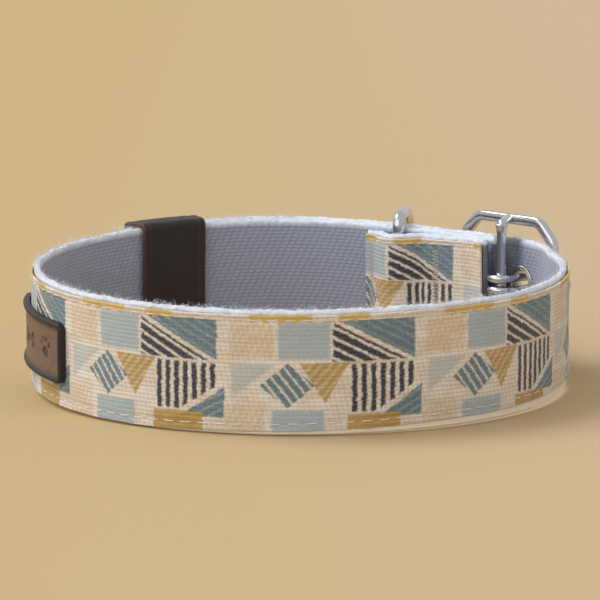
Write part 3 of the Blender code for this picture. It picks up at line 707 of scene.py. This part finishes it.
# ---- shapes for the smaller pieces
class Shape:
    """Points and faces gathered from several parts of one piece, in millimetres."""

    def __init__(self):
        self.points, self.faces, self.marks, self.count = [], [], [], 0

    def grid(self, rings, loop=False, caps=True, mark=0.0):
        """A skin over closed rings, which goes on from the last to the first if it is a loop."""
        rings = np.asarray(rings, float)
        rows, columns = rings.shape[:2]
        index = np.arange(rows * columns).reshape(rows, columns) + self.count
        low, high = (index, np.roll(index, -1, 0)) if loop else (index[:-1], index[1:])
        quads = np.stack([low, np.roll(low, -1, 1), np.roll(high, -1, 1), high], -1)
        self.faces += quads.reshape(-1, 4).tolist()
        if caps and not loop:
            self.faces += [index[0, ::-1].tolist(), index[-1].tolist()]
        self.points.append(rings.reshape(-1, 3))
        self.marks.append(np.broadcast_to(np.asarray(mark, float), (rows, columns)).reshape(-1))
        self.count += rows * columns

    def tube(self, path, radius, sides, loop=False):
        """A round wire along a path."""
        path = np.asarray(path, float)
        tangent = np.roll(path, -1, 0) - np.roll(path, 1, 0) if loop else np.gradient(path, axis=0)
        tangent = tangent / np.linalg.norm(tangent, axis=1, keepdims=True)
        across = np.array([0, 0, 1] if abs(tangent[0, 2]) < 0.9 else [1, 0, 0])
        normals = []
        for way in tangent:
            across = across - way * (across @ way)
            across = across / np.linalg.norm(across)
            normals.append(across)
        normals = np.array(normals)
        sides_of = np.cross(tangent, normals)
        turn = np.linspace(0, TAU, sides, endpoint=False)[None, :, None]
        radius = np.broadcast_to(np.asarray(radius, float), (len(path),))[:, None, None]
        spokes = np.cos(turn) * normals[:, None] + np.sin(turn) * sides_of[:, None]
        self.grid(path[:, None] + spokes * radius, loop)

    def make(self, name, material, node, slot, body="strap"):
        made = add_mesh(name, np.concatenate(self.points), self.faces, material)
        worn = made.data.attributes.new("worn", "FLOAT", "POINT")
        worn.data.foreach_set("value", np.concatenate(self.marks).astype(np.float32))
        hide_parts(node)
        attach(made, body)
        return made


def lathe(profile):
    """Rings of a body turned about the Z axis, from a closed profile of radius and height."""
    radius, height = np.asarray(profile, float).T
    return [np.stack([radius * math.cos(a), radius * math.sin(a), height], -1)
            for a in np.linspace(0, TAU, 72, endpoint=False)]


def arc(centre, radius, start, end, steps):
    turn = np.radians(np.linspace(start, end, steps + 1))
    return np.stack([centre[0] + radius * np.cos(turn), centre[1] + radius * np.sin(turn)], -1)


def rounded_loop(corners, radius, steps, fill=5):
    """A closed outline with each corner turned into a small curve."""
    corners = np.asarray(corners, float)
    found = []
    for index, corner in enumerate(corners):
        before, after = corners[index - 1], corners[(index + 1) % len(corners)]
        start = corner + (before - corner) / np.linalg.norm(before - corner) * radius
        end = corner + (after - corner) / np.linalg.norm(after - corner) * radius
        for step in np.linspace(0, 1, steps + 1):
            found.append(start * (1 - step) ** 2 + corner * 2 * step * (1 - step) + end * step**2)
        next_start = after + (corner - after) / np.linalg.norm(corner - after) * radius
        for step in np.linspace(0, 1, fill + 2)[1:-1]:
            found.append(end + (next_start - end) * step)
    return np.array(found)


def loop_outward(path):
    """The way to the left of a closed path, at each of its points."""
    way = np.roll(path, -1, 0) - np.roll(path, 1, 0)
    way /= np.linalg.norm(way, axis=1, keepdims=True)
    return np.stack([-way[:, 1], way[:, 0]], -1)


# ---- sewing: single stitches, bar tacks and stray fibres
FIBRES_SHORT_NEAR = rad(28)
dice = random.Random(12)


def strip_points(distances, heights, away):
    """Places beside the strip, in millimetres."""
    point, _, side = on_route(distances)
    spots = point + side * np.asarray(away, float)[..., None]
    return np.concatenate([spots, (lower_edge(distances) + heights)[..., None]], -1)


def stitch_row(name, node, height_at, start=2.0, end=STRIP_LENGTH - TIP_LENGTH):
    """Single stitches, each a thread that dips into the cloth at its ends."""
    shape = Shape()
    step = np.linspace(-1, 1, 9)
    for number in range(int((end - start) / STITCH_PITCH)):
        middle = start + number * STITCH_PITCH + dice.uniform(-0.08, 0.08)
        length = STITCH_LONG * dice.uniform(0.92, 1.05) / 2
        lean = dice.uniform(-0.07, 0.07)
        distances = middle + step * length
        heights = height_at(distances) + step * lean
        away = COVER_OUT - 0.20 + 0.26 * (1 - np.abs(step) ** 3)
        thick = THREAD_THICK * np.sqrt(np.clip(1.04 - step**4, 0.05, 1))
        shape.tube(strip_points(distances, heights, away), thick, sides=8)
    shape.make(name, THREAD, node, "thread")


def tack(name, node, middle):
    """Dense zigzag stitching across the fold."""
    shape = Shape()
    swings = np.linspace(0, 44, 264)
    heights = np.linspace(-9.2, 9.2, len(swings))
    swing = np.abs((swings % 2) - 1) * 2 - 1
    distances = middle + np.clip(swing * 1.1, -0.85, 0.85)
    away = COVER_OUT + 0.02 - 0.16 * np.abs(swing) ** 6
    shape.tube(strip_points(distances, WIDTH / 2 + heights, away), 0.11, sides=7)
    shape.make(name, TACK_THREAD, node, "thread")


def fuzz(name, node, material, slot, count, root_height, near, far):
    """Stray fibres along the top edge, coloured as at their roots and shorter by the D-ring."""
    shape, roots = Shape(), []
    for _ in range(count):
        distance = dice.uniform(1, STRIP_LENGTH - 3)
        if abs(distance - NOSE) < NOTCH_HALF + 1:
            continue
        long = dice.uniform(0.25, 1.0) ** 2 * 1.9 + 0.25
        if abs(float(round_angle(distance)) - D_RING_AT) < FIBRES_SHORT_NEAR:
            long *= 0.3
        lean, out = dice.uniform(-1.3, 1.3), dice.uniform(-0.5, 0.8)
        curl = dice.uniform(-0.9, 0.9)
        step = np.linspace(0, 1, 5)
        rise = long * (0.75 - 0.3 * abs(lean)) * np.sin(step * 1.6) + dice.uniform(-0.1, 0.05)
        distances = distance + long * lean * step + curl * step**2 * 0.5
        away = dice.uniform(near, far) + out * long * step
        heights = root_height + rise
        shape.tube(strip_points(distances, heights, away), 0.032 * (1.05 - step * 0.8), sides=3)
        roots += [(distance, root_height - 0.3, 1.0)] * (3 * len(step))
    set_attribute(shape.make(name, material, node, slot), "strip", roots)


stitch_row("stitches_fold", "topstitch_fold", lambda along: UPPER_STITCH, end=NOSE - NOTCH_HALF)
stitch_row("stitches_upper", "topstitch_upper", lambda along: UPPER_STITCH,
           start=NOSE + NOTCH_HALF + 2.4)
stitch_row("stitches_lower", "topstitch_lower", lambda along: bare_edge(along) + LOWER_STITCH)
tack("tack_fold_end", "bar_tack_fold_end", 2.2)
tack("tack_d_ring", "bar_tack_d_ring", length_near(ring_point(D_RING_AT), 0, FOLD_LENGTH / 2) + 9.5)
fuzz("edge_fibres", "strap_webbing", WEBBING_LOOK, "webbing", 3600, WIDTH - 0.1, -0.6, 0.65)
fuzz("cover_fibres", "strap_cover", CANVAS, "printed_cover", 1300, COVER_TOP - 0.15,
     COVER_IN, COVER_OUT)


# ---- eyelets and washers
def make_eyelets():
    """Turned from their sections: a crown on the cover and a washer clenched behind the webbing."""
    face = COVER_OUT + 0.12
    back = -WEBBING / 2 - GAP - 0.3
    crown = arc((3.42, face + 0.02), 0.48, 0, 180, 14)
    crown[:, 1] = face + (crown[:, 1] - face) * 1.15
    eyelet = np.concatenate([[(3.9, face)], crown, [(2.74, face - 0.4), (2.70, back + 0.35)],
                             arc((3.1, back + 0.22), 0.32, 180, 290, 6),
                             [(3.2, back + 0.3), (2.92, back + 0.6), (2.94, face - 0.1)]])
    washer = [(3.25, back + 0.3), (3.6, back + 0.32), (3.8, back + 0.24), (3.78, back + 0.1),
              (3.6, back + 0.02), (3.3, back), (3.25, back + 0.08)]
    for number, distance in enumerate(EYELET_PLACES):
        point, along, side = on_route(distance)
        axes = ((*along, 0), (0, 0, 1), (*side, 0))
        origin = (*point, lower_edge(distance) + EYELET_HEIGHT)
        for name, profile in ((f"eyelet_{number + 1}", eyelet),
                              (f"eyelet_washer_{number + 1}", washer)):
            shape = Shape()
            shape.grid(from_frame(axes, origin, lathe(profile[::-1])), loop=True)
            shape.make("look_" + name, NICKEL, name, "nickel")


make_eyelets()

# ---- buckle, prong and D-ring
FRAME_LENGTH, FRAME_HEIGHT, FRAME_THICK, RAIL = 29.5, 32.8, 2.2, 2.4
FRAME_OUT, FRAME_SKEW, BAR_SHIFT, CHAMFER = 6.4, rad(2), 5.7, 5.0
ARM_RADIUS, ARM_INTO_BAR = 1.12, 0.06
WIRE, SPREAD, PRONG_REACH, PRONG_BEND = 0.9, 1.3, 8.8, 2.0
D_WIRE, D_HEIGHT, D_ARM, D_CORNER, D_RING_SWING = 1.4, 32.0, 9.5, 2.0, rad(28)


def at_bar(points):
    """(across, out, up) at the buckle, with up from the frame's middle."""
    axes = ((*-BAR_ALONG, 0), (*BAR_SIDE, 0), (0, 0, 1))
    return from_frame(axes, (*BAR_POINT, FRAME_HEIGHT / 2), points)


def soft_box(across, deep):
    """Outline of a cast rail: a rectangle with its corners worn round."""
    turn = np.linspace(0, TAU, 28, endpoint=False)
    spot = np.stack([np.cos(turn), np.sin(turn)], -1)
    return np.sign(spot) * np.abs(spot) ** (2 / 3) * (across / 2, deep / 2)


def make_buckle():
    """One casting: the octagonal frame outside the strap, the bar inside it, and two arms."""
    half, top, cut = (FRAME_LENGTH - RAIL) / 2, (FRAME_HEIGHT - RAIL) / 2, CHAMFER - RAIL * 0.3
    corners = [(half, top - cut), (half - cut, top), (cut - half, top), (-half, top - cut),
               (-half, cut - top), (cut - half, -top), (half - cut, -top), (half, cut - top)]
    path = rounded_loop(corners, 1.5, 7)
    section = soft_box(RAIL, FRAME_THICK)
    flat = path[:, None] + loop_outward(path)[:, None] * section[None, :, :1]
    deep = np.broadcast_to(section[None, :, 1], flat.shape[:2])
    across = flat[..., 0] * math.cos(FRAME_SKEW) - deep * math.sin(FRAME_SKEW) - BAR_SHIFT
    out = flat[..., 0] * math.sin(FRAME_SKEW) + deep * math.cos(FRAME_SKEW) + FRAME_OUT
    shape = Shape()
    shape.grid(at_bar(np.stack([across, out, flat[..., 1]], -1)), loop=True)
    ups = np.concatenate([np.linspace(-top, -top + 2.4, 9), np.linspace(-top + 3, top - 3, 14),
                          np.linspace(top - 2.4, top, 9)])
    swell = 0.35 * bell(np.abs(ups) - top, 1.0)
    shape.tube(at_bar([(0, BAR_OUT, up) for up in ups]), BAR_RADIUS + swell, sides=28)
    step = np.linspace(-ARM_INTO_BAR, 1, 12)
    end_round = np.sqrt(np.clip(1 - (np.clip(ARM_INTO_BAR - step, 0, 1) / 0.13) ** 2, 0.2, 1))
    for side in (-1, 1):
        arm = [(-BAR_SHIFT * part, BAR_OUT + (FRAME_OUT - BAR_OUT) * part, side * top)
               for part in step]
        shape.tube(at_bar(arm), ARM_RADIUS * end_round, sides=28)
    shape.make("buckle", CHROME, "buckle_frame", "chrome_steel")


def make_prong():
    """A hairpin: its two ends curl round the bar and its tip rests on the frame's far rail."""
    rail = FRAME_OUT + (FRAME_LENGTH - RAIL) / 2 * math.sin(FRAME_SKEW)
    rest = rail + FRAME_THICK / 2 + WIRE + 0.1 - BAR_OUT
    corner = (PRONG_CURL + PRONG_BEND, rest - PRONG_BEND)
    leg = np.concatenate([arc((0, 0), PRONG_CURL, 150, 360, 30),
                          [(PRONG_CURL, rest * 0.25), (PRONG_CURL, rest * 0.5)],
                          arc(corner, PRONG_BEND, 180, 90, 12),
                          [(PRONG_REACH * 0.7, rest), (PRONG_REACH, rest)]])
    turn = np.radians(np.linspace(80, -80, 15))
    tip = [(PRONG_REACH + SPREAD * math.cos(a), rest, SPREAD * math.sin(a)) for a in turn]
    upper = [(x, y, SPREAD) for x, y in leg]
    lower = [(x, y, -SPREAD) for x, y in leg[::-1]]
    raise_by = float(rest_height(BAR_POINT)) + EYELET_HEIGHT - FRAME_HEIGHT / 2
    path = np.array(upper + tip + lower) + np.array([0, BAR_OUT, raise_by])
    ends = np.minimum(np.arange(len(path)), np.arange(len(path))[::-1])
    radius = WIRE * np.sqrt(np.clip((ends + 0.35) / 1.6, 0.2, 1))
    shape = Shape()
    shape.tube(at_bar(path), radius, sides=24)
    shape.make("prong", CHROME, "buckle_prong", "chrome_steel", "prong")


def make_d_ring():
    """Bent from one wire, with its join welded in the middle of the straight bar."""
    top = D_HEIGHT / 2 - D_WIRE
    bow = np.concatenate([
        arc((D_CORNER, top - D_CORNER), D_CORNER, 180, 90, 12), [(D_ARM * 0.6, top)],
        arc((D_ARM, 0), top, 90, -90, 60), [(D_ARM * 0.6, -top)],
        arc((D_CORNER, D_CORNER - top), D_CORNER, 270, 180, 12),
        [(0, -top * 0.45), (0, -0.5), (0, 0.5), (0, top * 0.45)]])
    point, along, out = ring_frame(D_RING_AT)
    across = out * math.sin(D_RING_SWING) - along * math.cos(D_RING_SWING)
    away = out * math.cos(D_RING_SWING) + along * math.sin(D_RING_SWING)
    place = point - out * (D_WIRE + 0.35)
    path = from_frame(((*across, 0), (*away, 0), (0, 0, 1)), (*place, D_HEIGHT / 2),
                      [(0, reach, up) for reach, up in bow])
    weld = 0.05 * bell(np.arange(len(path)) - (len(path) - 2.5), 0.9)
    shape = Shape()
    shape.tube(path, D_WIRE + weld, sides=28, loop=True)
    shape.make("d_ring_bow", CHROME, "d_ring", "chrome_steel", "d_ring")


make_buckle()
make_prong()
make_d_ring()

# ---- leather
KEEPER_LENGTH, KEEPER_THICK, KEEPER_SLACK, KEEPER_EDGE = 16.5, 0.9, 0.6, 0.45
KEEPER_OVER, KEEPER_UNDER, GROOVE_IN = 0.3, 1.1, 1.7
LABEL_LONG, LABEL_TALL, LABEL_DROP, LABEL_FACE_IN = 39.0, 12.6, 1.0, 1.3
PAW_AT, TOES = 11.5, ((0.75, 1.75, 0.15), (1.95, 0.75, 0.5))
hide, hide_fine = Hash(31), Hash(47)


def make_keeper():
    """A leather strip bent round both layers, with a pressed groove by each edge."""
    half_thick = KEEPER_THICK / 2
    near = -KEEPER_SLACK - half_thick
    far = TONGUE_MID + COVER_OUT + 0.15 + KEEPER_SLACK + half_thick
    low, high = -KEEPER_UNDER - half_thick, WIDTH + KEEPER_OVER + half_thick
    path = rounded_loop([(near, low), (far, low), (far, high), (near, high)], 1.3, 8, 36)
    half, flat = KEEPER_LENGTH / 2, np.ones(40)
    turn = np.linspace(0, math.pi, 9)[1:-1]
    reach = half - KEEPER_EDGE
    sweep, end_round = np.linspace(-reach, reach, 40), reach + KEEPER_EDGE * np.sin(turn)
    across = np.concatenate([sweep, end_round, sweep[::-1], -end_round])
    deep = np.concatenate([flat, np.cos(turn), -flat, -np.cos(turn)]) * half_thick
    run = np.arange(len(path))[:, None] * 0.35 + np.zeros(across.shape)[None]
    cross = np.broadcast_to(across, run.shape)
    groove = bell(np.abs(cross) - (half - GROOVE_IN), 0.16)
    outside = (deep > 0)[None]
    wave = 0.10 * hide(run, cross, 5.0, 6.0) + 0.05 * hide_fine(run, cross, 1.1, 1.3)
    fold = 0.12 * (bell(path[:, 1] - 9.5, 0.5) * (path[:, 0] < 0))[:, None]
    push = deep[None] + (wave - groove * 0.12 - fold) * outside
    spot = path[:, None] - loop_outward(path)[:, None] * push[..., None]
    point, _, out = ring_frame(KEEPER_AT + (cross + 0.12 * hide(run, 3.0, 4.0)) / RING_RADIUS)
    plan = point + out * spot[..., :1]
    rise = rest_height(point) + spot[..., 1]
    raw = np.clip((np.abs(cross) - (half - 0.42)) / 0.12, 0, 1) * 0.8
    worn = np.maximum(raw, groove * 0.35 * outside)
    shape = Shape()
    shape.grid(np.concatenate([plan, rise[..., None]], -1), loop=True, mark=worn)
    shape.make("keeper", KEEPER_HIDE, "keeper_loop", "brown_leather", "keeper")


def on_label(shift, up, away):
    """Places on the label: round the ring, up from its middle and out from its back."""
    face = MAIN_MID + COVER_OUT + GAP
    shift, up, away = np.broadcast_arrays(shift, up, away)
    point, _, out = ring_frame(LABEL_AT + shift / (RING_RADIUS + face))
    plan = point + out * (face + away)[..., None]
    return np.concatenate([plan, (rest_height(point) + WIDTH / 2 - LABEL_DROP + up)[..., None]], -1)


def oval(x, y, centre, size, turn=0.0):
    dx, dy = x - centre[0], y - centre[1]
    u = dx * math.cos(turn) + dy * math.sin(turn)
    v = dy * math.cos(turn) - dx * math.sin(turn)
    return 1 - np.sqrt((u / size[0]) ** 2 + (v / size[1]) ** 2)


def paw(x, y, centre):
    """Depth of a simple paw print: one pad and four toes."""
    cx, cy = centre
    found = oval(x, y, (cx, cy - 0.9), (1.75, 1.35)) * 1.5
    for side in (-1, 1):
        for shift, up, turn in TOES:
            toe = oval(x, y, (cx + side * shift, cy + up), (0.58, 0.85), -side * turn)
            found = np.maximum(found, toe * 0.7)
    return found


def bone(x, y, centre):
    """Depth of a plain bone shape: a bar with two knobs at each end."""
    cx, cy = centre
    found = np.minimum(3.2 - np.abs(x - cx), 0.85 - np.abs(y - cy))
    for side in (-3.2, 3.2):
        for up in (-0.85, 0.85):
            found = np.maximum(found, oval(x, y, (cx + side, cy + up), (1.25, 1.15)) * 1.2)
    return found


def make_label():
    """A raised border swept round the edge, and inside it a face with the shapes pressed in."""
    half_long, half_tall = LABEL_LONG / 2, LABEL_TALL / 2
    rings, marks = [], []
    profile = [(0.0, 0.0), (0.0, 0.9), (0.06, 1.12), (0.18, 1.28), (0.34, 1.37), (0.58, 1.4),
               (0.8, 1.35), (0.96, 1.22), (1.1, 1.02), (1.28, 0.86), (1.6, 0.78), (2.1, 0.72),
               (2.1, 0.1)]
    for inset, away in profile:
        a, b, corner = half_long - inset, half_tall - inset, max(2.0 - inset, 0.5)
        path = rounded_loop([(-a, -b), (a, -b), (a, b), (-a, b)], corner, 8, 26)
        rough = 0.05 * hide_fine(path[:, 0], path[:, 1], 1.6, 1.6) * (away > 0.5)
        rings.append(on_label(path[:, 0], path[:, 1], away + rough))
        marks.append(np.full(len(path), 1.0 if inset < 1.2 else 0.6 if inset < 1.5 else 0.25))
    shape = Shape()
    shape.grid(rings, caps=False, mark=np.array(marks))
    columns, rows = 260, 76
    x = np.linspace(LABEL_FACE_IN - half_long, half_long - LABEL_FACE_IN, columns)[:, None]
    y = np.linspace(LABEL_FACE_IN - half_tall, half_tall - LABEL_FACE_IN, rows)[None, :]
    paws = np.maximum(paw(x, y, (-PAW_AT, 0)), paw(x, y, (PAW_AT, 0)))
    press = smooth(np.maximum(paws, bone(x, y, (0, 0))) / 0.28)
    face = 0.80 - press * 0.30 + 0.05 * hide(x, y, 2.2, 1.9) + 0.03 * hide_fine(x, y, 0.7, 0.6)
    index = np.arange(columns * rows).reshape(columns, rows) + shape.count
    quads = np.stack([index[:-1, :-1], index[1:, :-1], index[1:, 1:], index[:-1, 1:]], -1)
    shape.faces += quads.reshape(-1, 4).tolist()
    shape.points.append(on_label(x, y, face).reshape(-1, 3))
    rim = np.maximum(np.abs(x) - (half_long - 2.2), np.abs(y) - (half_tall - 2.2))
    shape.marks.append(np.clip(press * 0.6 + smooth(rim / 0.8) * 0.45, 0, 1).reshape(-1))
    shape.count += columns * rows
    shape.make("label", LABEL_HIDE, "label_patch", "brown_leather")


make_keeper()
make_label()


# ---- camera, floor and lights
def add_sun(name, towards, power, spread, colour):
    light = bpy.data.lights.new(name, "SUN")
    light.energy, light.angle, light.color = power, rad(spread), colour
    made = bpy.data.objects.new(name, light)
    made.rotation_euler = Vector(towards).to_track_quat("Z", "Y").to_euler()
    bpy.context.scene.collection.objects.link(made)


def make_camera():
    """A long lens at the front, looking a little down on the ring."""
    away, elevation = 0.7, rad(9.45)
    data = bpy.data.cameras.new("camera")
    data.sensor_width, data.lens = 36.0, 196.3
    data.shift_x, data.shift_y = -0.002, 0.0442
    made = bpy.data.objects.new("camera", data)
    target = Vector((*RING_CENTRE, WIDTH / 2)) * MM
    made.location = target + away * Vector((0, -math.cos(elevation), math.sin(elevation)))
    made.rotation_euler = (rad(90) - elevation, 0, 0)
    data.clip_start, data.clip_end = 0.01, 50
    bpy.context.scene.collection.objects.link(made)
    bpy.context.scene.camera = made


def make_stage():
    """A seamless sheet of pale paper, a little greyer towards the right."""
    made, tree, shader = new_material("studio_paper", 0.9)
    place = object_place(tree)
    to_right, _, _ = parts_of(tree, place)
    grain = noise(tree, place, 30.0, 3.0)
    share = (to_right * 3.6 + 0.5 + grain * 0.02).clamp()
    colour = blend(tree, share, srgb(200, 174, 124), srgb(202, 179, 147))
    tree.links.new(colour, shader.inputs["Base Color"])
    shader.inputs["Specular IOR Level"].default_value = 0.15
    size = 6000
    corners = [(-size, -size, 0), (size, -size, 0), (size, size, 0), (-size, size, 0)]
    floor = add_mesh("floor", corners, [(0, 1, 2, 3)], made, False)


def make_lights():
    world = bpy.data.worlds.new("world")
    bpy.context.scene.world = world
    world.use_nodes = True
    background = world.node_tree.nodes["Background"]
    background.inputs["Color"].default_value = (1.0, 0.965, 0.93, 1)
    background.inputs["Strength"].default_value = 0.62
    add_sun("key", (-0.8, 0.25, 1.15), 1.5, 34, (0.95, 0.98, 1.0))
    add_sun("fill", (-0.85, -0.95, 0.42), 0.9, 70, (0.86, 0.93, 1.0))


make_camera()
make_stage()
make_lights()
bpy.context.scene.view_settings.view_transform = "Standard"
